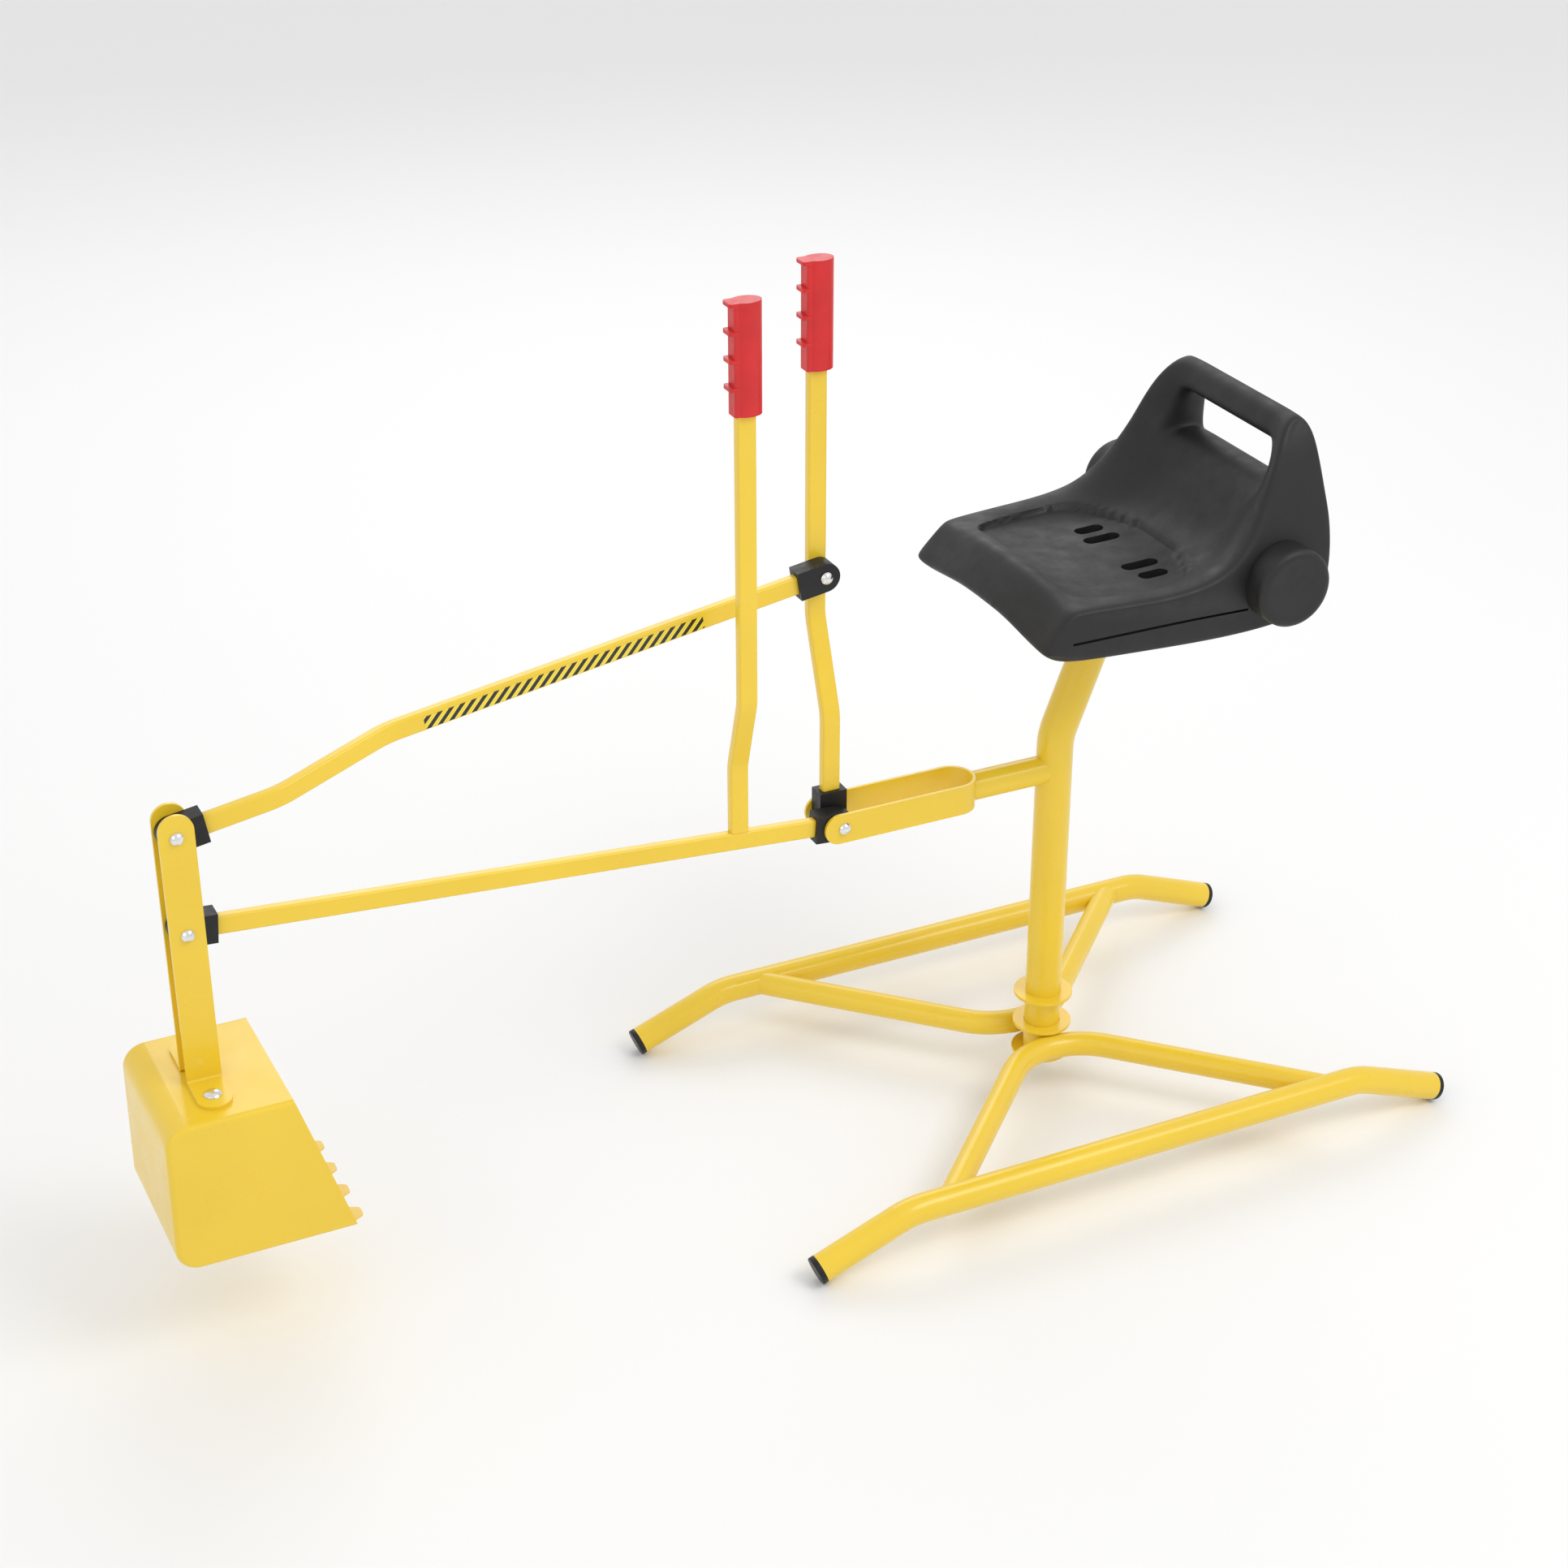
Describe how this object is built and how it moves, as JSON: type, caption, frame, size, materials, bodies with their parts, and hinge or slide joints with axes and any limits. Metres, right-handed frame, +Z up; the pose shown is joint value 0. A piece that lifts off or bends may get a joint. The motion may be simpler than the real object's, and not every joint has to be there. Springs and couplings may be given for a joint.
{
  "type": "ride-on sand digger",
  "caption": "Child's ride-on sand digger: a swivel seat on a tube base, with hand levers that lift an arm and tip a toothed bucket.",
  "frame": {"origin": "on the ground, on the axis that the seat and boom turn about", "axes": "+Z up; -X is forward, from the seat to the bucket; -Y is the rider's left"},
  "size_m": [1.127, 0.4046, 0.7953],
  "materials": {
    "yellow_paint": "gloss powder coat on steel",
    "black_fitting": "black moulded nylon",
    "seat_plastic": "fine-grained black moulded plastic",
    "red_grip": "satin red moulded plastic",
    "bright_bolt": "polished plated steel",
    "zinc_steel": "zinc-plated steel",
    "nylon": "natural nylon",
    "hazard_film": "printed black and yellow striped film"
  },
  "bodies": {
    "base": {"rail_left": "yellow_paint", "rail_right": "yellow_paint", "rail_end_caps": "black_fitting", "brace_left": "yellow_paint", "brace_right": "yellow_paint", "hub_tube": "yellow_paint", "hub_lower_flange": "yellow_paint", "hub_mid_flange": "yellow_paint", "hub_bushes": "nylon", "thrust_washer": "nylon"},
    "upper_frame": {"post": "yellow_paint", "upper_flange": "yellow_paint", "slew_spindle": "zinc_steel", "slew_washer": "zinc_steel", "slew_nut": "zinc_steel", "boom_stub": "yellow_paint", "boom_fork": "yellow_paint", "boom_pivot_bolt": "bright_bolt", "boom_pivot_nut": "zinc_steel", "seat_bracket": "yellow_paint", "seat_shell": "seat_plastic", "seat_under_shell": "seat_plastic", "seat_side_cap_left": "seat_plastic", "seat_side_cap_right": "seat_plastic", "seat_bolts": "zinc_steel"},
    "boom": {"lower_arm": "yellow_paint", "arm_rear_fitting": "black_fitting", "arm_front_fitting": "black_fitting", "left_lever": "yellow_paint", "left_grip": "red_grip"},
    "bucket_lever": {"right_lever": "yellow_paint", "right_lever_fitting": "black_fitting", "right_grip": "red_grip", "rod_pivot_bolt": "bright_bolt", "rod_pivot_nut": "zinc_steel"},
    "push_rod": {"push_rod": "yellow_paint", "rod_rear_fitting": "black_fitting", "rod_front_fitting": "black_fitting", "hazard_sticker": "hazard_film"},
    "bucket": {"bucket_wrapper": "yellow_paint", "bucket_side_left": "yellow_paint", "bucket_side_right": "yellow_paint", "link_plate_left": "yellow_paint", "link_plate_right": "yellow_paint", "bucket_pivot_bolts": "bright_bolt", "bucket_pivot_nuts": "zinc_steel", "foot_bolts": "bright_bolt", "foot_nuts": "zinc_steel"}
  },
  "joints": [
    {"name": "slew", "type": "hinge", "parent": "base", "child": "upper_frame", "pos_m": [0, 0, 0.0866], "axis": [0, 0, 1], "continuous": true},
    {"name": "boom_lift", "type": "hinge", "parent": "upper_frame", "child": "boom", "pos_m": [-0.2138, 0, 0.3189], "axis": [0, 1, 0], "range_deg": [-7.5, 18]},
    {"name": "bucket_lever_swing", "type": "hinge", "parent": "boom", "child": "bucket_lever", "pos_m": [-0.2138, 0, 0.3189], "axis": [0, 1, 0], "range_deg": [-12, 12]},
    {"name": "bucket_curl", "type": "hinge", "parent": "boom", "child": "bucket", "pos_m": [-0.7704, 0, 0.3608], "axis": [0, 1, 0], "range_deg": [-31.5, 31.5]},
    {"name": "push_rod_swing", "type": "hinge", "parent": "bucket_lever", "child": "push_rod", "pos_m": [-0.2138, 0, 0.5327], "axis": [0, 1, 0], "range_deg": [-12.5, 12.5]}
  ],
  "couplings": [
    {"joint": "bucket_curl", "follows": "bucket_lever_swing", "ratio": 2.6},
    {"joint": "push_rod_swing", "follows": "bucket_lever_swing", "ratio": -1}
  ]
}
